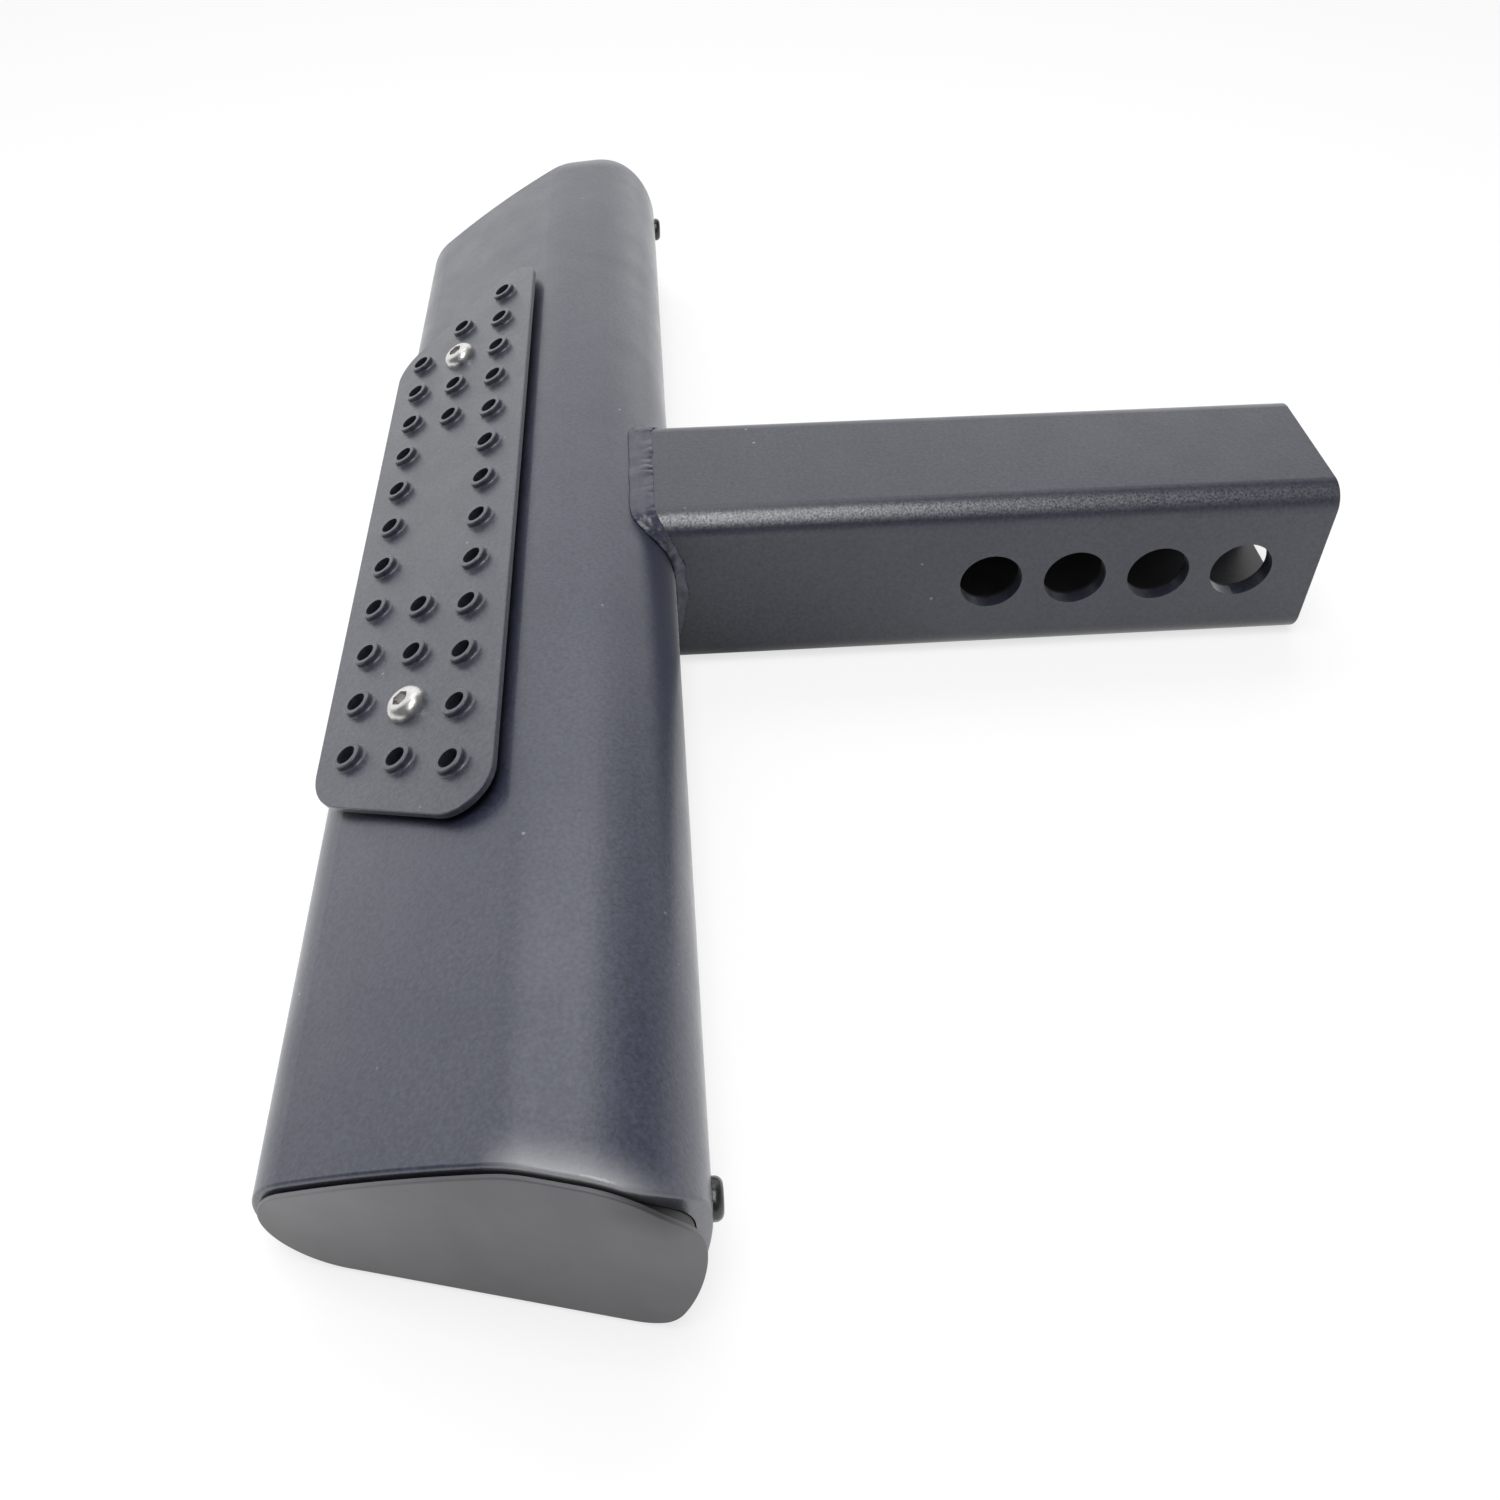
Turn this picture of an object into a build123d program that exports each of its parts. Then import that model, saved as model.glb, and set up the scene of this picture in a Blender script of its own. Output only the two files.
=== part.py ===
"""Hitch receiver step: an airfoil step bar with a dimpled tread plate, welded to a square receiver shank.

Units are millimetres. +X runs along the bar, +Y along the shank towards the vehicle, +Z up.
The origin is on the bar's flat underside, in the step's middle plane.
"""

import os
from math import asin, cos, radians, sin, sqrt, tan

from build123d import *

# Receiver shank: square tube with a row of cross holes for the hitch pin
shank_size = 50.8
shank_wall = 4.8
shank_corner = 7.0
shank_end_y = 225.5
shank_end_round = 0.5  # deburred edge at the open end
pin_hole_dia = 17.6
pin_hole_pitch = 24.0
pin_hole_count = 4
pin_hole_end = 22.6  # from the shank's open end to the last hole

# Step bar: airfoil tube, its section lies in the Y-Z plane
bar_half_length = 206.3  # middle plane to the mitred end, on the line Y = 0
bar_mitre = 14.6  # degrees, the rear edge is the longer one
bar_wall = 3.0
bar_end_round = 0.8  # softened edge at the mitred ends
bar_corner = 17.0  # rear corner of each end, seen from above
corner_margin = 5.0  # how far behind the rear face that corner's arc would run out
seat_y = -21.2  # point of the front slope under the middle of the tread plate
seat_drop = 14.5  # how far that point lies below the upper facet's line
front_slope = 29.1  # degrees, at that point
front_radius = 300.0
nose_radius = 15.8
crest_radius = 20.0
deck_height = 53.5  # height of the upper facet's line, straight above the origin
deck_fall = 0.8  # degrees, down towards the rear
rear_y = 42.3  # rearmost point of the bar
rear_crown_drop = 24.5  # height of that point below the upper facet's line
rear_radius = 52.0
rear_top_radius = 22.0
rear_bottom_radius = 12.0

# Weld bead over the shank's top and down its sides
weld_radius = 4.4
weld_sink = 3.0  # depth of the bead's centre line under the shank's faces
weld_sharp_corner = 20.0  # degrees, a sharper turn of the joint starts a new run of weld

# Tread plate: sheet with three columns of pierced dimples, staggered by half a pitch
plate_thickness = 1.6
plate_edge_round = 0.3
dimple_pitch = 18.3
dimple_stagger = 60.0  # degrees, from a column to the next dimple across
dimple_hole = 5.2
dimple_collar = 7.6
dimple_rise = 2.0
dimple_flare = 0.8  # width of the foot where a collar leaves the sheet
dimple_tip = 0.35  # rounding of a collar's rim
rear_dimples = 13
front_dimples = 11
middle_rows = (2, 3, 5)  # rows of the middle column with a dimple, counted outward from the middle plane
screw_row = 4  # row of the middle column with the plate's screw
plate_end_margin = 15.4  # along X, from the last dimple to the slanted end
plate_edge_margin = 10.9
plate_rear_corner = 9.5
plate_front_corner = 17.0

# Button-head screws of the tread plate
screw_dia = 6.0
screw_length = 16.0
screw_head_dia = 10.5
screw_head_height = 3.3
screw_head_flat = 4.9  # diameter of the flat around the socket
socket_width = 4.0  # across the flats
socket_depth = 2.0

# Smaller button-head screws of the end caps
cap_screw_dia = 5.0
cap_screw_length = 14.0
cap_screw_head_dia = 8.2
cap_screw_head_height = 2.0
cap_screw_head_flat = 3.8
cap_socket_width = 3.0
cap_socket_depth = 1.3

# Common to all the screws
screw_head_rim = 0.5  # straight edge under the dome
screw_point = 0.6  # chamfer at the end of the thread
screw_hole_clearance = 0.6

# Rivet nuts in the bar's front wall
rivet_flange_dia = 11.0
rivet_flange = 1.4
rivet_barrel_dia = 9.0
rivet_bulge_dia = 12.4
rivet_bulge = 4.0
rivet_length = 15.0  # from the flange's seat to the barrel's end
rivet_clearance = 0.15
thread_clearance = 0.05

# End caps: flange with a plug that slides into the tube
cap_gap = 0.7  # open seam between the tube's end and the flange
cap_flange = 0.9
cap_edge_round = 0.4
cap_corner = 12.0  # tighter than the bar's, so the seam opens at the rear corner
cap_inset = 1.3  # flange edge inside the tube's outer face
cap_clearance = 0.25
cap_face = 2.6  # thickness behind the cap's outer face
cap_skirt_wall = 2.5
cap_depth = 26.0
cap_screw_inset = 13.0  # along X, from the mitre's line on the rear face
cap_screw_z = 27.9
cap_boss_dia = 13.0
cap_boss_length = 16.0
cap_round_share = 0.48  # most of the flange's thickness that its edge rounding may take

half_size = shank_size / 2
seat_z = deck_height - seat_drop
rear_crown_z = deck_height - rear_crown_drop
column_step = dimple_pitch * sin(radians(dimple_stagger))
seat_normal = Vector(0, -sin(radians(front_slope)), cos(radians(front_slope)))
blank_length = 3 * bar_half_length  # drawn longer than the bar and cut to length later
on_base = (Align.CENTER, Align.CENTER, Align.MIN)  # a solid of revolution stands on its seat


def front_center():
    """Centre of the front slope's arc."""
    angle = radians(front_slope)
    return Vector(seat_y + front_radius * sin(angle), seat_z - front_radius * cos(angle))


def rear_center():
    """Centre of the rear face's arc."""
    return Vector(rear_y - rear_radius, rear_crown_z)


def on_deck(center, radius, side):
    """Point where an arc meets the upper facet's line: side is -1 at the front and 1 at the rear."""
    along = Vector(cos(radians(deck_fall)), -sin(radians(deck_fall)))
    start = Vector(0, deck_height) - center
    middle = start.dot(along)
    half_chord = sqrt(middle**2 - start.dot(start) + radius**2)
    return Vector(0, deck_height) + along * (side * half_chord - middle)


def on_floor(center, radius, side):
    """Point where an arc meets the underside."""
    return Vector(center.X + side * sqrt(radius**2 - center.Y**2), 0)


def bar_outline():
    """Airfoil section of the bar's outer face."""
    nose = on_floor(front_center(), front_radius, -1)
    crest = on_deck(front_center(), front_radius, -1)
    deck_end = on_deck(rear_center(), rear_radius, 1)
    foot = on_floor(rear_center(), rear_radius, 1)
    rounded = (
        (nose, nose_radius),
        (crest, crest_radius),
        (deck_end, rear_top_radius),
        (foot, rear_bottom_radius),
    )
    with BuildSketch(Plane.YZ) as section:
        with BuildLine():
            Line(foot, nose)
            ThreePointArc(nose, (seat_y, seat_z), crest)
            Line(crest, deck_end)
            ThreePointArc(deck_end, (rear_y, rear_crown_z), foot)
        make_face()
        for corner, radius in rounded:
            fillet(section.vertices().sort_by_distance(corner)[0], radius)
    return section.sketch


def bar_blank(inset=0):
    """Solid bar with its faces moved inward, longer than the finished bar."""
    section = bar_outline()
    if inset:
        section = offset(section, amount=-inset)
    return extrude(section, amount=blank_length / 2, both=True)


def end_x(y, outward=0):
    """Distance from the middle plane to the mitred end's line, moved outward along X."""
    return bar_half_length + outward + y * tan(radians(bar_mitre))


def plan_block(outward, corner):
    """Block over the bar's outline seen from above: mitred ends with rounded rear corners."""
    front = -2 * rear_y
    rear = rear_y + corner_margin
    front_half = end_x(front, outward)
    rear_half = end_x(rear, outward)
    corners = [(-front_half, front), (front_half, front), (rear_half, rear), (-rear_half, rear)]
    outline = make_face(Polyline(*corners, close=True))
    outline = fillet(outline.vertices().group_by(Axis.Y)[-1], corner)
    return extrude(outline, amount=2 * deck_height, both=True)


def at_end(solid, side):
    """Half of a solid that lies at +X or -X."""
    return split(solid, bisect_by=Plane.YZ, keep=Keep.TOP if side > 0 else Keep.BOTTOM)


def middle_place(row):
    """Distance of a middle-column row from the middle plane: its rows lie half a pitch off the others."""
    return (row + 1 / 2) * dimple_pitch


def plate_plane():
    """Underside of the tread plate, which rests on the rivet nuts' flanges."""
    origin = Vector(0, seat_y, seat_z) + seat_normal * rivet_flange
    return Plane(origin, x_dir=(1, 0, 0), z_dir=seat_normal)


def rivet_places():
    """Seats of the two rivet nuts on the bar's front slope."""
    seat = Plane((0, seat_y, seat_z), x_dir=(1, 0, 0), z_dir=seat_normal)
    return [seat * Pos(side * middle_place(screw_row), 0, 0) for side in (-1, 1)]


def plate_screw_places():
    """Seats of the two screw heads on the tread plate."""
    return [place * Pos(0, 0, rivet_flange + plate_thickness) for place in rivet_places()]


def cap_screw_place(side):
    """Seat of a cap screw's head on the bar's rear face, looking out along the face's normal."""
    lean = asin((cap_screw_z - rear_crown_z) / rear_radius)
    y = rear_center().X + rear_radius * cos(lean)
    x = end_x(y) - cap_screw_inset
    return Plane((side * x, y, cap_screw_z), x_dir=(1, 0, 0), z_dir=(0, cos(lean), sin(lean))).location


def drilled(dia, depth):
    """Cylinder that starts above its seat and goes down into it, for cutting holes."""
    return Pos(0, 0, -depth) * Cylinder(dia / 2, 2 * depth, align=on_base)


def end_rim(solid):
    """Outer edges of the upright faces that end a solid."""
    upright = [face for face in solid.faces() if abs(face.normal_at().X) > 0.05]
    edges = [edge for face in upright for edge in face.edges()]
    return [edge for edge in edges if sum(edge.is_same(other) for other in edges) == 1]


def step_bar():
    """Airfoil tube, mitred at both ends, with holes for the rivet nuts and the cap screws."""
    bar = bar_blank() & plan_block(0, bar_corner)
    bar = fillet(end_rim(bar), bar_end_round) - bar_blank(bar_wall)
    for side in (-1, 1):
        bar -= cap_screw_place(side) * drilled(cap_screw_dia + screw_hole_clearance, 2 * bar_wall)
    for place in rivet_places():
        bar -= place * drilled(rivet_barrel_dia + 2 * rivet_clearance, 2 * bar_wall)
    return bar


def shank_start_y():
    """Front of the uncut shank: it begins at the bar's rear foot."""
    return on_floor(rear_center(), rear_radius, 1).X


def shank_blank(inset=0):
    """Solid square bar from the bar's rear foot to the shank's open end."""
    size = shank_size - 2 * inset
    section = RectangleRounded(size, size, shank_corner - inset)
    front = Plane((0, shank_start_y(), half_size), x_dir=(1, 0, 0), z_dir=(0, 1, 0))
    return extrude(front * section, amount=shank_end_y - shank_start_y())


def pin_hole_ys():
    """Places of the pin holes along the shank, from the bar outwards."""
    last = shank_end_y - pin_hole_end
    return [last - pin_hole_pitch * index for index in reversed(range(pin_hole_count))]


def receiver_shank():
    """Square tube, coped to the bar's rear face, with the row of cross holes."""
    shank = shank_blank() - shank_blank(shank_wall) - bar_blank()
    rim = shank.faces().sort_by(Axis.Y)[-1]
    shank = fillet(rim.outer_wire().edges(), shank_end_round)
    for y in pin_hole_ys():
        shank -= Pos(0, y, half_size) * Rot(0, 90, 0) * Cylinder(pin_hole_dia / 2, 2 * shank_size)
    return shank


def weld_path():
    """Line where the shank, taken a little smaller, meets the bar: up a side, over the top, down the other.

    A shank that is taller than the bar has the line round its front end, on the bar's upper facet.
    """
    square = 0.01  # largest part of a wall's normal that may point along the shank
    core = shank_blank(weld_sink) - bar_blank()
    behind = core.faces().filter_by(lambda face: face.center().Y > shank_start_y() + square)
    cope = behind.filter_by(lambda face: face.normal_at().Y < -square)
    edges = [edge for face in cope for edge in face.edges()]
    joint = [edge for edge in edges if sum(edge.is_same(other) for other in edges) == 1]
    return Wire([edge for edge in joint if edge.center().Z > shank_corner])


def smooth_runs(path):
    """Parts of a path between its sharp corners."""
    runs = []
    for edge in path.order_edges():
        if runs and (runs[-1][-1] % 1).get_angle(edge % 0) < weld_sharp_corner:
            runs[-1].append(edge)
        else:
            runs.append([edge])
    return [Wire(run) for run in runs]


def weld_bead():
    """Round bead along the joint, with rounded ends."""
    bead = Part()
    for run in smooth_runs(weld_path()):
        bead += sweep(Plane(run @ 0, z_dir=run % 0) * Circle(weld_radius), path=run)
        bead += [Pos(run @ end) * Sphere(weld_radius) for end in (0, 1)]
    return bead - bar_blank() - shank_blank()


def dimple_places():
    """Dimples of the tread plate as (X, Y) on the sheet, rear column first."""
    places = []
    for count, column in ((rear_dimples, column_step), (front_dimples, -column_step)):
        for index in range(count):
            places.append(((index - (count - 1) / 2) * dimple_pitch, column))
    for row in middle_rows:
        places += [(-middle_place(row), 0), (middle_place(row), 0)]
    return places


def sheet_outline():
    """Trapezoid with its long edge at the rear and its ends along the dimples' diagonals."""
    half_width = column_step + plate_edge_margin
    middle_end = middle_place(max(middle_rows)) + plate_end_margin
    slant = half_width / tan(radians(dimple_stagger))
    corners = [
        (middle_end + slant, half_width),
        (-middle_end - slant, half_width),
        (-middle_end + slant, -half_width),
        (middle_end - slant, -half_width),
    ]
    outline = make_face(Polyline(*corners, close=True))
    outline = fillet(outline.vertices().group_by(Axis.Y)[-1], plate_rear_corner)
    return fillet(outline.vertices().group_by(Axis.Y)[0], plate_front_corner)


def dimple_collar_solid():
    """Raised collar of one dimple, standing on the sheet, with a flared foot and a rounded rim."""
    hole = dimple_hole / 2
    wall = dimple_collar / 2
    foot = wall + dimple_flare
    top = plate_thickness + dimple_rise
    sunk = plate_thickness / 2
    flare_top = plate_thickness + dimple_flare
    section = [
        Line((hole, sunk), (foot, sunk)),
        Line((foot, sunk), (foot, plate_thickness)),
        TangentArc((foot, plate_thickness), (wall, flare_top), tangent=(-1, 0)),
        Line((wall, flare_top), (wall, top - dimple_tip)),
        TangentArc((wall, top - dimple_tip), (wall - dimple_tip, top), tangent=(0, 1)),
        Line((wall - dimple_tip, top), (hole, top)),
        Line((hole, top), (hole, sunk)),
    ]
    return revolve(Plane.XZ * make_face(section), axis=Axis.Z)


def dimple_cut():
    """Hole of one dimple, flared at the sheet's underside where the punch went in."""
    hole = dimple_hole / 2
    top = plate_thickness + dimple_rise
    mouth = Cone(hole + dimple_flare, hole, plate_thickness / 2, align=on_base)
    return Cylinder(hole, 2 * top) + mouth


def tread_plate():
    """Sheet with pierced dimples and two screw holes."""
    sheet = extrude(sheet_outline(), amount=plate_thickness)
    sheet = fillet(sheet.faces().sort_by(Axis.Z)[-1].edges(), plate_edge_round)
    collar = dimple_collar_solid()
    cut = dimple_cut()
    plate = sheet + [Pos(x, y, 0) * collar for x, y in dimple_places()]
    plate -= [Pos(x, y, 0) * cut for x, y in dimple_places()]
    screw_hole = drilled(screw_dia + screw_hole_clearance, 2 * plate_thickness)
    for side in (-1, 1):
        plate -= Pos(side * middle_place(screw_row), 0, 0) * screw_hole
    return plate_plane() * plate


def button_screw(dia, length, head_dia, head_height, head_flat):
    """Button-head screw: domed head above its seat, plain shank below."""
    head = head_dia / 2
    shank = dia / 2
    flat = head_flat / 2
    section = [
        Line((0, -length), (shank - screw_point, -length)),
        Line((shank - screw_point, -length), (shank, screw_point - length)),
        Line((shank, screw_point - length), (shank, 0)),
        Line((shank, 0), (head, 0)),
        Line((head, 0), (head, screw_head_rim)),
        TangentArc((head, screw_head_rim), (flat, head_height), tangent=(0, 1)),
        Line((flat, head_height), (0, head_height)),
        Line((0, head_height), (0, -length)),
    ]
    return revolve(Plane.XZ * make_face(section), axis=Axis.Z)


def hex_socket(width, depth, head_height):
    """Hexagon that is cut into the top of a screw's head."""
    hexagon = RegularPolygon(width / 2, 6, major_radius=False)
    return Pos(0, 0, head_height - depth) * extrude(hexagon, amount=2 * depth)


def plate_screw():
    """Screw of the tread plate."""
    screw = button_screw(screw_dia, screw_length, screw_head_dia, screw_head_height, screw_head_flat)
    return screw - hex_socket(socket_width, socket_depth, screw_head_height)


def cap_screw():
    """Screw of an end cap."""
    screw = button_screw(
        cap_screw_dia, cap_screw_length, cap_screw_head_dia, cap_screw_head_height, cap_screw_head_flat
    )
    return screw - hex_socket(cap_socket_width, cap_socket_depth, cap_screw_head_height)


def rivet_nut():
    """Flanged rivet nut set in the bar's wall: flange above its seat, bulge under the wall."""
    bore = screw_dia / 2 + thread_clearance
    barrel = rivet_barrel_dia / 2
    bulge = rivet_bulge_dia / 2
    bulge_top = -bar_wall - rivet_clearance
    bulge_middle = bulge_top - rivet_bulge / 2
    bulge_end = bulge_top - rivet_bulge
    section = [
        Line((bore, -rivet_length), (barrel, -rivet_length)),
        Line((barrel, -rivet_length), (barrel, bulge_end)),
        ThreePointArc((barrel, bulge_end), (bulge, bulge_middle), (barrel, bulge_top)),
        Line((barrel, bulge_top), (barrel, 0)),
        Line((barrel, 0), (rivet_flange_dia / 2, 0)),
        Line((rivet_flange_dia / 2, 0), (rivet_flange_dia / 2, rivet_flange)),
        Line((rivet_flange_dia / 2, rivet_flange), (bore, rivet_flange)),
        Line((bore, rivet_flange), (bore, -rivet_length)),
    ]
    return revolve(Plane.XZ * make_face(section), axis=Axis.Z)


def end_cap(side):
    """Cap with an edge-rounded flange, a hollow plug inside the tube and a boss for its screw."""
    end = at_end(bar_blank(cap_inset) & plan_block(cap_gap + cap_flange, cap_corner), side)
    end = fillet(end_rim(end), min(cap_edge_round, cap_round_share * cap_flange))
    flange = end - plan_block(cap_gap, cap_corner)

    plug_inset = bar_wall + cap_clearance
    plug = at_end(bar_blank(plug_inset) & plan_block(cap_gap, cap_corner), side)
    plug -= plan_block(-cap_depth, cap_corner)
    hollow_end = plan_block(cap_gap + cap_flange - cap_face, cap_corner)
    hollow = bar_blank(plug_inset + cap_skirt_wall) & hollow_end
    seat = cap_screw_place(side)
    boss = seat * Pos(0, 0, -cap_boss_length) * Cylinder(cap_boss_dia / 2, cap_boss_length, align=on_base)
    thread = drilled(cap_screw_dia + 2 * thread_clearance, cap_screw_length + cap_screw_dia / 2)
    return flange + (plug - hollow) + (plug & boss) - seat * thread


def main():
    os.makedirs("parts", exist_ok=True)
    nodes = {
        "step_bar": step_bar(),
        "receiver_shank": receiver_shank(),
        "weld_bead": weld_bead(),
        "tread_plate": tread_plate(),
        "rivet_nuts": Compound([place * rivet_nut() for place in rivet_places()]),
        "plate_screws": Compound([place * plate_screw() for place in plate_screw_places()]),
        "end_cap_left": end_cap(-1),
        "end_cap_right": end_cap(1),
        "cap_screws": Compound([cap_screw_place(side) * cap_screw() for side in (-1, 1)]),
    }
    for name, shape in nodes.items():
        export_step(shape, f"parts/{name}.step")


main()
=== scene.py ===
import math

import bpy
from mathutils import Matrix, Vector, noise
from mathutils.bvhtree import BVHTree


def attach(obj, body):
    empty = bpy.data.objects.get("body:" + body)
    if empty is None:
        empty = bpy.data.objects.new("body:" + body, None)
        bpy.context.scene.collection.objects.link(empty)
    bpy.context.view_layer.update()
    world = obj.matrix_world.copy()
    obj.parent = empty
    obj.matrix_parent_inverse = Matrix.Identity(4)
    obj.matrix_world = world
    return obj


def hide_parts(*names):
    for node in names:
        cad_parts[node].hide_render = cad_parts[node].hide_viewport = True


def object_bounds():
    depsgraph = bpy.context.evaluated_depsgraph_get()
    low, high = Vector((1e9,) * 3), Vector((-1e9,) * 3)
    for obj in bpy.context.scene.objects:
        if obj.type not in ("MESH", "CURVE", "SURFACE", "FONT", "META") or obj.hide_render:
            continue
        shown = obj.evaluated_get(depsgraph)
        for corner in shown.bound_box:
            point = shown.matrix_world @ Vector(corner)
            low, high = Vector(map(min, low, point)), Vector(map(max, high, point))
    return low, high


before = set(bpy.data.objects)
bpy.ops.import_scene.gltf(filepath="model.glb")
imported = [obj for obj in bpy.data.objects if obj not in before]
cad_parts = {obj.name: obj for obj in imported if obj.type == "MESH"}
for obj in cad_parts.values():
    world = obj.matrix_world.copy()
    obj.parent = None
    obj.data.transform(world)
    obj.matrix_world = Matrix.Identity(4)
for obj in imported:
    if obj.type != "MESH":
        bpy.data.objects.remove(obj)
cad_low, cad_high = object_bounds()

# Sizes are in metres, in the frame of the CAD model: +X along the bar towards the camera,
# +Y along the shank, +Z up. Colours are linear.
MM = 0.001

# Camera, worked out from the photograph's perspective
camera_place = Vector((0.3190, 0.0405, 0.2594))
camera_target = Vector((0.0915, 0.0578, 0.0300))
camera_lens = 32.14
camera_sensor = 36.0
camera_near = 0.01

# Softboxes
key_place = Vector((0.23, 0.06, 1.05))
key_target = Vector((0.05, 0.06, 0.00))
key_width = 0.40
key_length = 0.50
key_power = 4.4
rim_place = Vector((0.63, 0.10, 0.88))
rim_target = Vector((0.03, 0.07, 0.05))
rim_width = 0.20
rim_length = 0.36
rim_power = 1.6
deck_place = Vector((-0.42, -0.12, 0.94))
deck_target = Vector((0.17, 0.02, 0.05))
deck_width = 0.70
deck_length = 0.30
deck_power = 1.05

# Floor as it lights the object, as the camera sees it, and as the object mirrors it
floor_size = 8.0
floor_colour = (0.86, 0.86, 0.86, 1.0)
floor_seen_colour = (0.36, 0.36, 0.36, 1.0)
floor_lift = 0.70
floor_mirrored_colour = (0.45, 0.45, 0.45, 1.0)
floor_mirrored_lift = 0.85

# Painted shade: the mirrored floor is darker in the corner between the bar and the shank, where it lies in
# their shadow
corner_place = Vector((0.026, 0.056, 0.0))
corner_reach = 0.070
corner_shade = 0.20

# Room light, with the edges of its bright side and of its low backdrop as parts of a direction
sky_colour = (1.0, 1.0, 1.0, 1.0)
sky_bright_side = Vector((-0.93, -0.29, 0.23))
sky_bright_edge = (0.45, 0.74)
sky_low = 0.18
sky_high = 1.37
sky_horizon = 0.7
sky_horizon_height = (0.08, 0.42)
sky_horizon_side = (0.15, 0.55)

# Parts of a noise's range that are used: the narrower one gives clearer patches
patch_spread = (0.35, 0.65)
even_spread = (0.3, 0.7)

# Powder coat of the bar, the shank, the tread and the weld
coat_colour = (0.030, 0.035, 0.060)
coat_light = (0.038, 0.043, 0.070)
# The shank's coat is the bar's powder coat painted darker and less blue, a shaded copy that stands in for how
# light falls on it
shank_shaded_colour = (0.027, 0.030, 0.047)
shank_shaded_light = (0.034, 0.037, 0.056)
tread_colour = (0.046, 0.050, 0.070)
tread_light = (0.056, 0.060, 0.082)
bar_specular = 0.75
shank_specular = 0.60
tread_specular = 0.70
weld_specular = 0.62
coat_sheen = 0.22
coat_sheen_roughness = 0.28
coat_gloss = (0.30, 0.37)
coat_gloss_size = 12 * MM
coat_tone_size = 45 * MM
# Painted shade in the coat's seams and inside corners: its darkest share and its reach
coat_crevice_shade = 0.10
coat_crevice_reach = 30 * MM
tread_crevice_reach = 8 * MM
grain_size = 1.0 * MM
grain_share = 0.32
sand_size = 0.6 * MM
sand_roughness = 0.6
sand_depth = 0.045 * MM
peel_size = 3.0 * MM
peel_depth = 0.03 * MM

# Specks of dust and pits in the coat; the pits' near-black is also the colour of the caps' painted shade
dust_colour = (0.34, 0.34, 0.35)
dust_cell = 12 * MM
dust_size = 0.9 * MM
dust_strength = 0.6
dust_depth = 0.05 * MM
pit_and_shade_colour = (0.012, 0.012, 0.016)
pit_cell = 15.7 * MM
pit_size = 0.9 * MM
spot_core = 0.3
spot_rim = 0.6

# Painted shade in seams and inside corners, set by the part of the open sky, from darkest to lightest
crevice_spread = (0.15, 0.75)
crevice_samples = 8

# Bar, with painted highlights: pale bands on its flat top where its mitred ends catch the light
bar_half_length = 206.3 * MM
bar_mitre = 14.6
# Colour of the painted highlights on the bar's ends and the shank's edges
painted_highlight_colour = (0.30, 0.305, 0.32)
end_highlight_width = 9.0 * MM
end_highlight_front = (3 * MM, 11 * MM)
end_highlight_rear = (27 * MM, 38 * MM)

# Caps: their outer face, and the plug that goes into the bar, which has near-black painted shade
# Near-black painted shade inside the shank and on the caps' plugs
inside_shade_colour = (0.003, 0.003, 0.004)
cap_colour = (0.108, 0.106, 0.117)
cap_light = (0.115, 0.112, 0.124)
# Painted light: the caps are paler towards the nose, where more light falls
cap_painted_light = (0.222, 0.218, 0.228)
cap_painted_light_nose = (-40 * MM, -4 * MM)
# Painted shade: the caps are darker towards the floor
cap_foot_shade_heights = (1 * MM, 32 * MM)
cap_foot_shade = 0.68
# Painted shade: a dark spot on the caps under the bar's seam, at its rear top corner
cap_shade_place = (0.0, 33 * MM, 49 * MM)
cap_shade_core = 2 * MM
cap_shade_reach = 11 * MM
cap_shade = 0.75
cap_crevice_shade = 0.02
cap_crevice_reach = 6 * MM
cap_tone_size = 30 * MM
cap_gloss = (0.50, 0.54)
cap_gloss_size = 8 * MM
cap_grain_size = 0.35 * MM
cap_grain_depth = 0.015 * MM
cap_corner = 12.0 * MM
cap_corner_start = 32.3 * MM
cap_corner_used = 0.95
cap_gap = 0.7 * MM
cap_gap_edge = 0.3

# Screws and rivet nuts: colours, gloss, and marks as sizes of tone, of gloss, of marks and their depth
stainless_colour = (0.52, 0.52, 0.51)
stainless_light = (0.64, 0.63, 0.62)
stainless_gloss = (0.30, 0.40)
zinc_colour = (0.42, 0.43, 0.45)
zinc_light = (0.60, 0.61, 0.64)
zinc_gloss = (0.28, 0.42)
turned_marks = (1.5 * MM, 0.8 * MM, 0.2 * MM, 0.004 * MM)
oxide_colour = (0.010, 0.010, 0.011)
oxide_light = (0.022, 0.022, 0.024)
oxide_gloss = (0.20, 0.32)
oxide_marks = (1.2 * MM, 0.6 * MM, 0.3 * MM, 0.006 * MM)

# Shank: its section, and its inside, which is lit only near its open end and elsewhere has near-black painted
# shade
shank_half = 25.4 * MM
shank_round = 7.0 * MM
shank_wall = 4.8 * MM
shank_inside_edge = (0.5 * MM, 1.5 * MM)
shank_lit_inside = 40 * MM
shank_lit_share = 0.3

# Painted highlight: glints on the shank's upper rounded edges, in shares of the rounding's radius
glint_side = (0.25, 0.55)
glint_drop = (0.55, 0.30)
glint_start = 60 * MM
glint_end_share = 0.3
glint_size = 0.6 * MM
glint_detail = 3.0
glint_spread = (0.34, 0.66)

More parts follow.
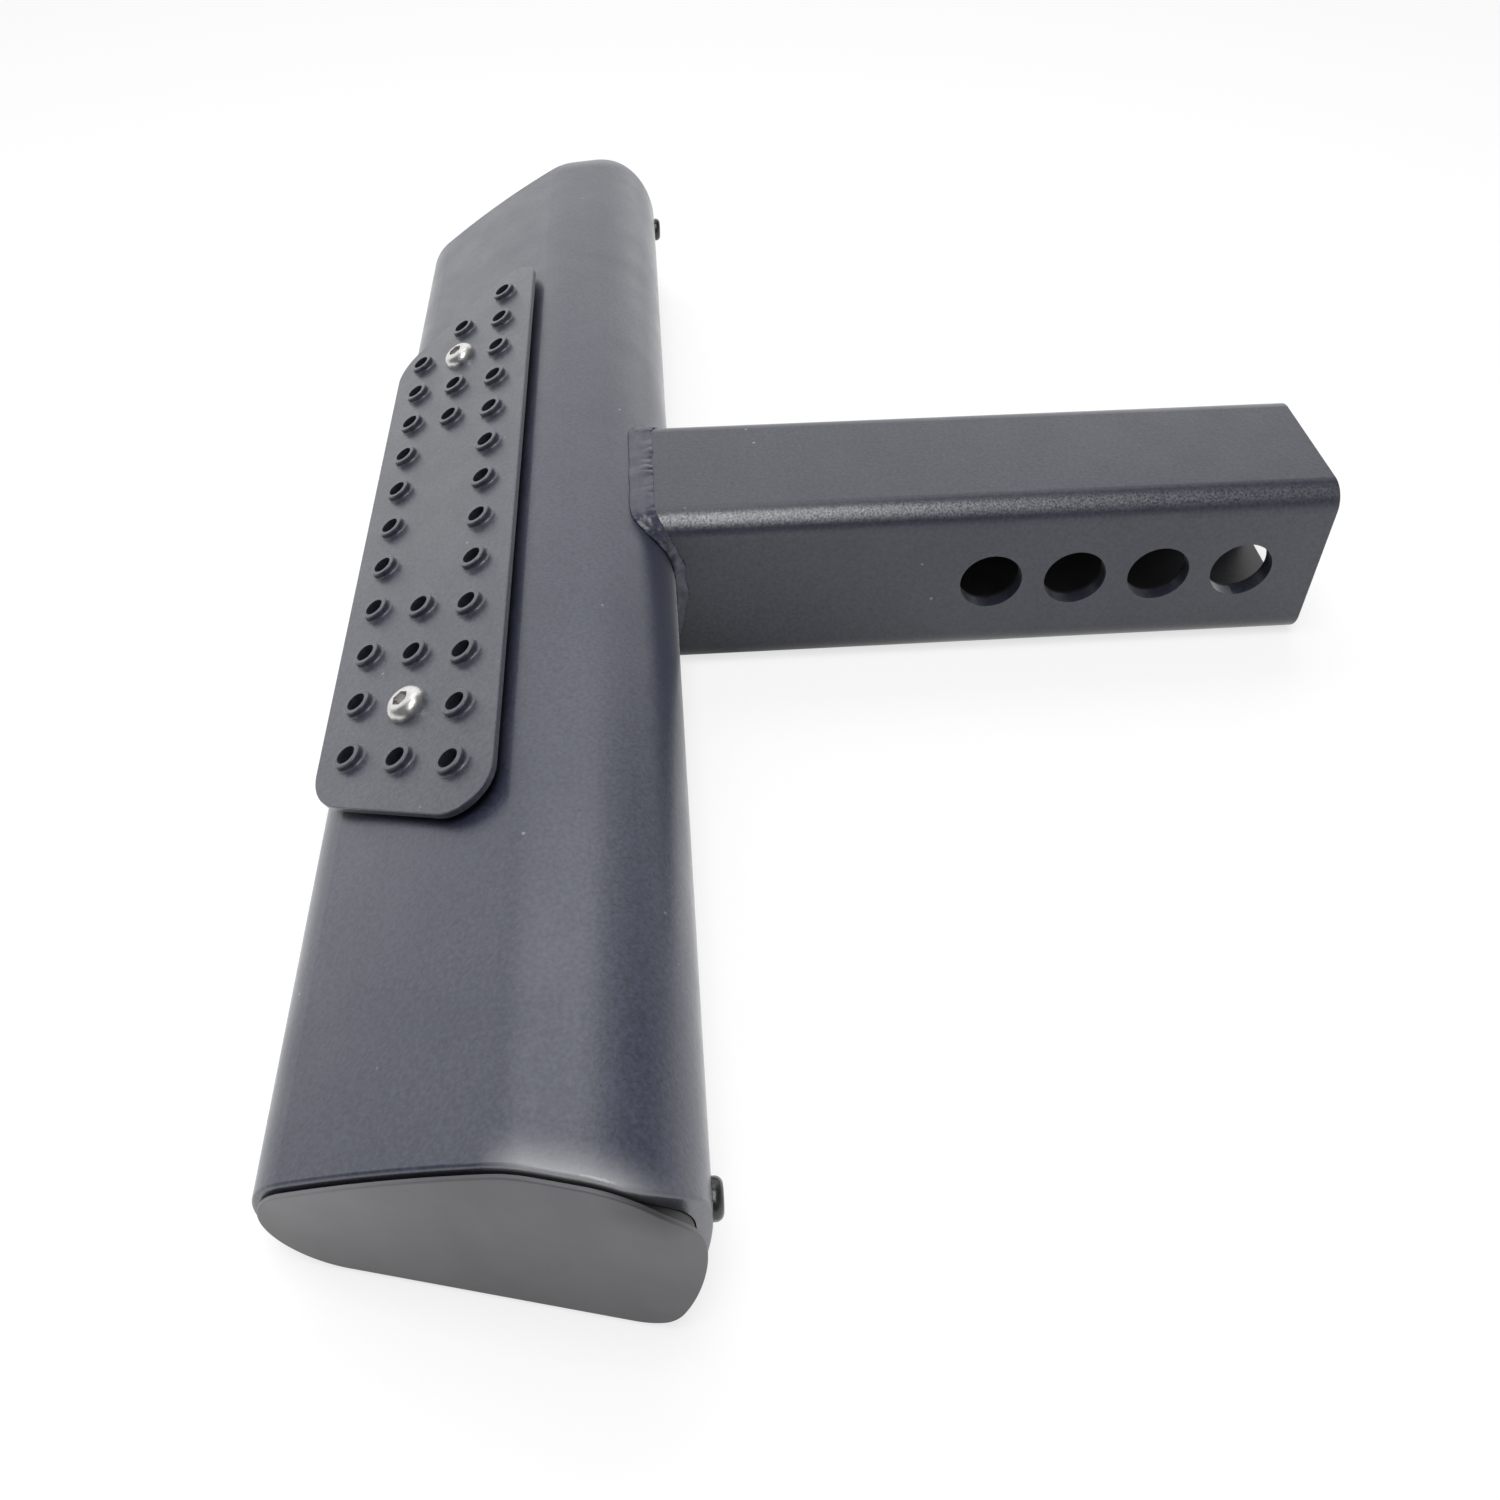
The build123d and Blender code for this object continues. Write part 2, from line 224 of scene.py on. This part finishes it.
# Weld that runs round the shank's top and sides
weld_voxel = 0.35 * MM
weld_half_width = 3.6 * MM
weld_swell = 0.15 * MM
weld_flatten = 0.55
weld_turn = 8 * MM
ripple_pitch = 3.4 * MM
ripple_depth = 0.45 * MM
ripple_bend = 0.45
ripple_wander = 0.9
ripple_side_loss = 0.6
wander_length = 5 * MM
wander_row = 7.3
uneven_length = 6 * MM
uneven_row = 1.7
uneven_middle = 0.5
uneven_least = 0.1
toe_start = 0.1
toe_least = 0.05
lump_size = 3.2 * MM
lump_length = 6.5 * MM
lump_depth = 1.5 * MM
lump_row = 3.1
lump_top_share = 0.34


def link(tree, source, target):
    """Joins one output socket to one input socket."""
    tree.links.new(source, target)


def node(tree, kind, values=None, **settings):
    """Adds a shader node, sets its options and its input values, and links inputs given as sockets."""
    made = tree.nodes.new(kind)
    for name, value in settings.items():
        setattr(made, name, value)
    for name, value in (values or {}).items():
        if isinstance(value, bpy.types.NodeSocket):
            link(tree, value, made.inputs[name])
        else:
            made.inputs[name].default_value = value
    return made


def rgba(colour):
    """Colour with full opacity."""
    return (*colour, 1.0)


def new_material(name):
    """A material with an empty node tree, its shader, and the object's own coordinates in metres."""
    material = bpy.data.materials.new(name)
    material.use_nodes = True
    tree = material.node_tree
    tree.nodes.clear()
    output = node(tree, "ShaderNodeOutputMaterial")
    shader = node(tree, "ShaderNodeBsdfPrincipled")
    link(tree, shader.outputs["BSDF"], output.inputs["Surface"])
    place = node(tree, "ShaderNodeTexCoord").outputs["Object"]
    return material, tree, shader, place


def math_node(tree, operation, *values):
    """Result of one arithmetic step on values or sockets."""
    return node(tree, "ShaderNodeMath", dict(enumerate(values)), operation=operation).outputs[0]


def axes(tree, place):
    """The X, Y and Z of a place, as sockets."""
    return node(tree, "ShaderNodeSeparateXYZ", {0: place}).outputs


def distance(tree, place, other):
    """How far one place is from another."""
    made = node(tree, "ShaderNodeVectorMath", {0: place, 1: other}, operation="DISTANCE")
    return made.outputs["Value"]


def remap(tree, value, low, high, to_low, to_high):
    """Value stretched from one range to another, and held inside it."""
    made = node(
        tree,
        "ShaderNodeMapRange",
        {"Value": value, "From Min": low, "From Max": high, "To Min": to_low, "To Max": to_high},
        clamp=True,
    )
    return made.outputs["Result"]


def noise_value(tree, place, size, detail=2.0, roughness=0.5):
    """Noise from 0 to 1 whose features are about `size` metres wide."""
    made = node(
        tree,
        "ShaderNodeTexNoise",
        {"Vector": place, "Scale": 1.0 / size, "Detail": detail, "Roughness": roughness},
    )
    return made.outputs["Fac"]


def noise_between(tree, place, size, low, high, spread=even_spread):
    """Noise stretched so that it runs from low to high."""
    return remap(tree, noise_value(tree, place, size), *spread, low, high)


def mix_colour(tree, share, first, second):
    """Colour that goes from first to second as share goes from 0 to 1."""
    made = node(tree, "ShaderNodeMix", data_type="RGBA", blend_type="MIX")
    for index, value in ((0, share), (6, first), (7, second)):
        socket = made.inputs[index]
        if isinstance(value, bpy.types.NodeSocket):
            link(tree, value, socket)
        else:
            socket.default_value = value
    return made.outputs[2]


def scaled(tree, colour, share):
    """Colour times share."""
    made = node(tree, "ShaderNodeVectorMath", {0: colour, "Scale": share}, operation="SCALE")
    return made.outputs["Vector"]


def add_bump(tree, shader, heights):
    """Chains bump nodes, one for each (height socket, depth in metres), into the shader's normal."""
    normal = None
    for height, depth in heights:
        values = {"Height": height, "Distance": depth, "Strength": 1.0}
        if normal:
            values["Normal"] = normal
        normal = node(tree, "ShaderNodeBump", values).outputs["Normal"]
    link(tree, normal, shader.inputs["Normal"])


def painted_crevice_shade(tree, colour, reach, darkest):
    """Colour with painted shade: darker in seams and inside corners, where less sky is open, over about
    `reach` metres.
    """
    open_sky = node(tree, "ShaderNodeAmbientOcclusion", {"Distance": reach}, samples=crevice_samples)
    share = remap(tree, open_sky.outputs["AO"], *crevice_spread, darkest, 1.0)
    return scaled(tree, colour, share)


def spots(tree, place, cell, size):
    """Mask of small separate spots: 1 inside a spot of about `size` metres, one in each cell of space."""
    cells = node(tree, "ShaderNodeTexVoronoi", {"Vector": place, "Scale": 1.0 / cell})
    core = spot_core * size / cell
    rim = spot_rim * size / cell
    return remap(tree, cells.outputs["Distance"], core, rim, 1.0, 0.0)


def mitre_line(tree, parts):
    """Distance from the middle plane, measured where the mitred end's direction meets Y = 0."""
    out = math_node(tree, "ABSOLUTE", parts["X"])
    return math_node(tree, "MULTIPLY_ADD", parts["Y"], -math.tan(math.radians(bar_mitre)), out)


def painted_end_highlights(tree, place):
    """Painted highlights: pale bands on the bar's flat top that come up towards its mitred ends, where their
    edges catch the light.
    """
    parts = axes(tree, place)
    band = remap(tree, mitre_line(tree, parts), bar_half_length - end_highlight_width, bar_half_length, 0.0, 1.0)
    band = math_node(tree, "MULTIPLY", band, band)
    front = remap(tree, parts["Y"], *end_highlight_front, 0.0, 1.0)
    rear = remap(tree, parts["Y"], *end_highlight_rear, 1.0, 0.0)
    return math_node(tree, "MULTIPLY", band, math_node(tree, "MULTIPLY", front, rear))


def painted_edge_glints(tree, place):
    """Painted highlight: bright grains on the shank's upper rounded edges where the light glints, strongest
    next to the bar.
    """
    parts = axes(tree, place)
    across = math_node(tree, "ABSOLUTE", parts["X"])
    flat = shank_half - shank_round
    side_edge = [flat + share * shank_round for share in glint_side]
    side = remap(tree, across, *side_edge, 0.0, 1.0)
    drop_edge = [2 * shank_half - share * shank_round for share in glint_drop]
    lower = remap(tree, parts["Z"], *drop_edge, 0.0, 1.0)
    fade = remap(tree, parts["Y"], glint_start, cad_high[1], 1.0, glint_end_share)
    sand = noise_value(tree, place, glint_size, detail=glint_detail)
    glint_grains = remap(tree, sand, *glint_spread, 0.0, 1.0)
    edge = math_node(tree, "MULTIPLY", side, lower)
    return math_node(tree, "MULTIPLY", edge, math_node(tree, "MULTIPLY", fade, glint_grains))


def painted_shank_inside_shade(tree, place):
    """Painted shade inside the shank: 1 on its inner walls, less towards its open end where light gets in, 0
    on the outside.
    """
    parts = axes(tree, place)
    across = math_node(tree, "ABSOLUTE", parts["X"])
    up = math_node(tree, "ABSOLUTE", math_node(tree, "SUBTRACT", parts["Z"], shank_half))
    farthest = math_node(tree, "MAXIMUM", across, up)
    wall_edge = [shank_half - shank_wall + past for past in shank_inside_edge]
    within = remap(tree, farthest, *wall_edge, 1.0, 0.0)
    open_end = cad_high[1]
    deep = remap(tree, parts["Y"], open_end - shank_lit_inside, open_end, 1.0, shank_lit_share)
    return math_node(tree, "MULTIPLY", within, deep)


def cap_plug_shade(tree, parts):
    """Painted shade: 1 on the part of a cap that goes into the tube and lies in its shadow, 0 on its outer
    face and round its rear corner.
    """
    past = math_node(tree, "SUBTRACT", parts["Y"], cap_corner_start)
    past = math_node(tree, "MINIMUM", math_node(tree, "MAXIMUM", past, 0.0), cap_corner_used * cap_corner)
    square = math_node(tree, "MULTIPLY", past, past)
    height = math_node(tree, "SQRT", math_node(tree, "SUBTRACT", cap_corner * cap_corner, square))
    fall = math_node(tree, "SUBTRACT", cap_corner, height)
    depth = math_node(tree, "ADD", mitre_line(tree, parts), fall)
    gap_edge = bar_half_length + cap_gap_edge * cap_gap
    return remap(tree, depth, gap_edge, bar_half_length + cap_gap, 1.0, 0.0)


def powder_coat(name, dark, light, crevice_reach, specular, highlight_mask=None, inside_shade_mask=None):
    """Satin powder coat: soft changes of tone, a fine sandy skin, and a few specks of dust and pits.

    It has painted shade in inside corners, painted highlights where its highlight mask is 1, and near-black
    painted shade with a matt finish where its inside mask is 1.
    """
    material, tree, shader, place = new_material(name)
    tone = noise_between(tree, place, coat_tone_size, 0.0, 1.0, patch_spread)
    colour = mix_colour(tree, tone, rgba(dark), rgba(light))
    grain = noise_between(tree, place, grain_size, 1.0 - grain_share, 1.0 + grain_share)
    colour = scaled(tree, colour, grain)
    dust = math_node(tree, "MULTIPLY", spots(tree, place, dust_cell, dust_size), dust_strength)
    colour = mix_colour(tree, dust, colour, rgba(dust_colour))
    pits = spots(tree, place, pit_cell, pit_size)
    colour = mix_colour(tree, pits, colour, rgba(pit_and_shade_colour))
    gloss = noise_between(tree, place, coat_gloss_size, *coat_gloss)
    # Painted highlights
    if highlight_mask:
        colour = mix_colour(tree, highlight_mask(tree, place), colour, rgba(painted_highlight_colour))
    # Painted shade: near-black and matt inside the shank
    if inside_shade_mask:
        inside_shade = inside_shade_mask(tree, place)
        colour = mix_colour(tree, inside_shade, colour, rgba(inside_shade_colour))
        gloss = math_node(tree, "MAXIMUM", gloss, inside_shade)
    # Painted shade in seams and inside corners
    shaded = painted_crevice_shade(tree, colour, crevice_reach, coat_crevice_shade)
    link(tree, shaded, shader.inputs["Base Color"])
    link(tree, gloss, shader.inputs["Roughness"])
    shader.inputs["Specular IOR Level"].default_value = specular
    shader.inputs["Sheen Weight"].default_value = coat_sheen
    shader.inputs["Sheen Roughness"].default_value = coat_sheen_roughness
    peel = noise_value(tree, place, peel_size)
    sand = noise_value(tree, place, sand_size, roughness=sand_roughness)
    add_bump(tree, shader, ((peel, peel_depth), (sand, sand_depth), (dust, dust_depth)))
    return material


def moulded_plastic(name, dark, light):
    """Fine-grained plastic of the caps: painted light at the nose, painted shade at the foot and under the
    bar's seam, and near-black painted shade on the plug.
    """
    material, tree, shader, place = new_material(name)
    tone = noise_between(tree, place, cap_tone_size, 0.0, 1.0, patch_spread)
    colour = mix_colour(tree, tone, rgba(dark), rgba(light))
    parts = axes(tree, place)
    # Painted light: paler towards the nose
    nose = remap(tree, parts["Y"], *cap_painted_light_nose, 1.0, 0.0)
    colour = mix_colour(tree, nose, colour, rgba(cap_painted_light))
    # Painted shade towards the floor
    foot = remap(tree, parts["Z"], *cap_foot_shade_heights, cap_foot_shade, 0.0)
    colour = mix_colour(tree, foot, colour, rgba(pit_and_shade_colour))
    # Painted shade under the bar's seam
    flat_place = node(tree, "ShaderNodeCombineXYZ", {"X": 0.0, "Y": parts["Y"], "Z": parts["Z"]})
    away = distance(tree, flat_place.outputs[0], cap_shade_place)
    shade = remap(tree, away, cap_shade_core, cap_shade_reach, cap_shade, 0.0)
    colour = mix_colour(tree, shade, colour, rgba(pit_and_shade_colour))
    # Painted shade: the plug inside the tube is near-black
    colour = mix_colour(tree, cap_plug_shade(tree, parts), colour, rgba(inside_shade_colour))
    # Painted shade in the cap's seams
    shaded = painted_crevice_shade(tree, colour, cap_crevice_reach, cap_crevice_shade)
    link(tree, shaded, shader.inputs["Base Color"])
    gloss = noise_between(tree, place, cap_gloss_size, *cap_gloss)
    link(tree, gloss, shader.inputs["Roughness"])
    grain = noise_value(tree, place, cap_grain_size)
    add_bump(tree, shader, ((grain, cap_grain_depth),))
    return material


def fastener(name, dark, light, gloss_range, marks, metallic):
    """Finish of a screw or nut, with fine uneven tone, gloss and marks."""
    material, tree, shader, place = new_material(name)
    tone_size, gloss_size, mark_size, mark_depth = marks
    shader.inputs["Metallic"].default_value = metallic
    tone = noise_between(tree, place, tone_size, 0.0, 1.0)
    link(tree, mix_colour(tree, tone, rgba(dark), rgba(light)), shader.inputs["Base Color"])
    gloss = noise_between(tree, place, gloss_size, *gloss_range)
    link(tree, gloss, shader.inputs["Roughness"])
    add_bump(tree, shader, ((noise_value(tree, place, mark_size), mark_depth),))
    return material


def dress(name, material):
    """Gives a CAD node its finish."""
    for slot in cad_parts[name].material_slots:
        slot.material = material


def dress_nodes():
    """Gives each CAD node its finish, apart from the weld bead, which is replaced."""
    bar_coat = powder_coat(
        "bar_powder_coat", coat_colour, coat_light, coat_crevice_reach, bar_specular, painted_end_highlights
    )
    shank_coat = powder_coat(
        "shank_powder_coat", shank_shaded_colour, shank_shaded_light, coat_crevice_reach, shank_specular,
        painted_edge_glints, painted_shank_inside_shade,
    )
    tread_coat = powder_coat(
        "tread_powder_coat", tread_colour, tread_light, tread_crevice_reach, tread_specular
    )
    plastic = moulded_plastic("cap_moulded_plastic", cap_colour, cap_light)
    stainless = fastener(
        "turned_stainless", stainless_colour, stainless_light, stainless_gloss, turned_marks, 1.0
    )
    zinc = fastener("zinc_plate", zinc_colour, zinc_light, zinc_gloss, turned_marks, 1.0)
    black = fastener("black_oxide", oxide_colour, oxide_light, oxide_gloss, oxide_marks, 0.0)
    dress("step_bar", bar_coat)
    dress("receiver_shank", shank_coat)
    dress("tread_plate", tread_coat)
    dress("end_cap_left", plastic)
    dress("end_cap_right", plastic)
    dress("plate_screws", stainless)
    dress("rivet_nuts", zinc)
    dress("cap_screws", black)


def held(value, low, high):
    """Value kept between low and high."""
    return min(max(value, low), high)


def weld_length(x, z):
    """Distance along the joint from the middle of the shank's top, round its corners and down its sides."""
    flat = shank_half - shank_round
    across = abs(x)
    up = z - shank_half
    if across <= flat:
        length = across
    elif up >= flat:
        length = flat + shank_round * math.atan2(across - flat, up - flat)
    else:
        length = flat + shank_round * math.pi / 2 + flat - up
    return math.copysign(length, x)


def weld_side(along):
    """0 where the weld lies on the shank's top, 1 where it runs down a side."""
    return held((abs(along) - shank_half) / weld_turn, 0.0, 1.0)


def fine_skin(node_name, piece_name):
    """Copy of a CAD node as one even, fine skin that can be shaped."""
    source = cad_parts[node_name]
    piece = bpy.data.objects.new(piece_name, source.data.copy())
    piece.matrix_world = source.matrix_world.copy()
    bpy.context.scene.collection.objects.link(piece)
    remesh = piece.modifiers.new("skin", "REMESH")
    remesh.mode = "VOXEL"
    remesh.voxel_size = weld_voxel
    depsgraph = bpy.context.evaluated_depsgraph_get()
    skin = bpy.data.meshes.new_from_object(piece.evaluated_get(depsgraph))
    piece.modifiers.clear()
    piece.data = skin
    return piece


def weld_middle(skin):
    """Mean Y of the bead at each ripple along the joint."""
    groups = {}
    for vertex in skin.vertices:
        ripple = round(weld_length(vertex.co.x, vertex.co.z) / ripple_pitch)
        groups.setdefault(ripple, []).append(vertex.co.y)
    return {ripple: sum(values) / len(values) for ripple, values in groups.items()}


def weld_rise(place, middle):
    """How far a point of the bead is pushed out: scalloped ripples on top, long runny lumps on the sides."""
    along = weld_length(place.x, place.z)
    across = (place.y - middle[round(along / ripple_pitch)]) / weld_half_width
    side = weld_side(along)
    wander = ripple_wander * noise.noise(Vector((along / wander_length, wander_row, 0.0)))
    turn = along / ripple_pitch + ripple_bend * across * across + wander
    share = turn - math.floor(turn)
    scallop = 4 * share * (1 - share) - 0.5
    uneven = uneven_middle + noise.noise(Vector((along / uneven_length, uneven_row, 0.0)))
    toe = held(toe_start + across, toe_least, 1.0) * held(uneven, uneven_least, 1.0)
    ripple = ripple_depth * scallop * toe * (1 - ripple_side_loss * side)
    lump = noise.noise(Vector((along / lump_length, across * weld_half_width / lump_size, lump_row)))
    lump_share = lump_top_share + (1 - lump_top_share) * side
    return weld_swell + ripple + lump_depth * lump * lump_share


def weld_laid(place, bases):
    """Point of the bead drawn towards the nearer of the two pieces it joins, so that it is flatter on top."""
    side = weld_side(weld_length(place.x, place.z))
    nearest = min((base.find_nearest(place) for base in bases), key=lambda found: found[3])
    return place.lerp(nearest[0], weld_flatten * (1 - side))


def make_weld():
    """Rippled weld bead that takes the plain one's place."""
    material = powder_coat("weld_powder_coat", coat_colour, coat_light, coat_crevice_reach, weld_specular)
    piece = fine_skin("weld_bead", "weld_ripples")
    skin = piece.data
    middle = weld_middle(skin)
    depsgraph = bpy.context.evaluated_depsgraph_get()
    joined = ("step_bar", "receiver_shank")
    bases = [BVHTree.FromObject(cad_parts[name], depsgraph) for name in joined]
    moved = []
    for vertex in skin.vertices:
        rise = vertex.normal * weld_rise(vertex.co, middle)
        moved.append(weld_laid(vertex.co, bases) + rise)
    for vertex, place in zip(skin.vertices, moved):
        vertex.co = place
    for face in skin.polygons:
        face.use_smooth = True
    skin.materials.clear()
    skin.materials.append(material)
    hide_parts("weld_bead")
    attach(piece, "root")


def floor_material():
    """White floor that keeps the object's shadow, with painted shade in one corner where the object mirrors
    it.
    """
    material = bpy.data.materials.new("studio_floor")
    material.use_nodes = True
    tree = material.node_tree
    tree.nodes.clear()
    output = node(tree, "ShaderNodeOutputMaterial")
    path = node(tree, "ShaderNodeLightPath").outputs
    seen = path["Is Camera Ray"]
    mirrored = math_node(tree, "MAXIMUM", path["Is Glossy Ray"], path["Is Transmission Ray"])
    colour = mix_colour(tree, seen, floor_colour, floor_seen_colour)
    colour = mix_colour(tree, mirrored, colour, floor_mirrored_colour)
    matt = node(tree, "ShaderNodeBsdfDiffuse", {"Color": colour})
    place = node(tree, "ShaderNodeTexCoord").outputs["Object"]
    # Painted shade in the corner, seen only in reflections
    away = distance(tree, place, corner_place)
    corner_lift = corner_shade * floor_mirrored_lift
    mirrored_lift = remap(tree, away, 0.0, corner_reach, corner_lift, floor_mirrored_lift)
    mirrored_lift = math_node(tree, "MULTIPLY", mirrored, mirrored_lift)
    lift = math_node(tree, "MULTIPLY_ADD", seen, floor_lift, mirrored_lift)
    glow = node(tree, "ShaderNodeEmission", {"Strength": lift})
    both = node(tree, "ShaderNodeAddShader", {0: matt.outputs[0], 1: glow.outputs[0]})
    link(tree, both.outputs[0], output.inputs["Surface"])
    return material


def make_floor():
    """Large square floor under the object."""
    mesh = bpy.data.meshes.new("floor")
    half = floor_size / 2
    corners = [(-half, -half, 0), (half, -half, 0), (half, half, 0), (-half, half, 0)]
    mesh.from_pydata(corners, [], [(0, 1, 2, 3)])
    mesh.materials.append(floor_material())
    floor = bpy.data.objects.new("floor", mesh)
    bpy.context.scene.collection.objects.link(floor)


def make_world():
    """Soft room light: bright beyond the bar's far end, dim elsewhere, with a pale low backdrop along +Y."""
    world = bpy.data.worlds.new("studio")
    bpy.context.scene.world = world
    world.use_nodes = True
    tree = world.node_tree
    tree.nodes.clear()
    output = node(tree, "ShaderNodeOutputWorld")
    direction = node(tree, "ShaderNodeTexCoord").outputs["Generated"]
    bright_side = sky_bright_side.normalized()
    towards = node(tree, "ShaderNodeVectorMath", {0: direction, 1: bright_side}, operation="DOT_PRODUCT")
    light = remap(tree, towards.outputs["Value"], *sky_bright_edge, sky_low, sky_high)
    parts = axes(tree, direction)
    low_down = remap(tree, parts["Z"], *sky_horizon_height, 1.0, 0.0)
    behind = remap(tree, parts["Y"], *sky_horizon_side, 0.0, sky_horizon)
    light = math_node(tree, "ADD", light, math_node(tree, "MULTIPLY", low_down, behind))
    sky = node(tree, "ShaderNodeBackground", {"Color": sky_colour, "Strength": light})
    link(tree, sky.outputs[0], output.inputs["Surface"])


def add_lamp(name, place, target, width, length, power):
    """Softbox at place that points at target."""
    lamp = bpy.data.lights.new(name, "AREA")
    lamp.shape = "RECTANGLE"
    lamp.size = width
    lamp.size_y = length
    lamp.energy = power
    holder = bpy.data.objects.new(name, lamp)
    holder.location = place
    holder.rotation_euler = (target - place).to_track_quat("-Z", "Y").to_euler()
    bpy.context.scene.collection.objects.link(holder)


def make_camera():
    """Camera at the photograph's place and angle."""
    data = bpy.data.cameras.new("photo_camera")
    data.lens = camera_lens
    data.sensor_width = camera_sensor
    data.clip_start = camera_near
    camera = bpy.data.objects.new("photo_camera", data)
    camera.location = camera_place
    camera.rotation_euler = (camera_target - camera_place).to_track_quat("-Z", "Y").to_euler()
    bpy.context.scene.collection.objects.link(camera)
    bpy.context.scene.camera = camera


dress_nodes()
make_weld()
make_floor()
make_world()
add_lamp("key", key_place, key_target, key_width, key_length, key_power)
add_lamp("rim", rim_place, rim_target, rim_width, rim_length, rim_power)
add_lamp("deck", deck_place, deck_target, deck_width, deck_length, deck_power)
make_camera()
bpy.context.scene.view_settings.view_transform = "Standard"
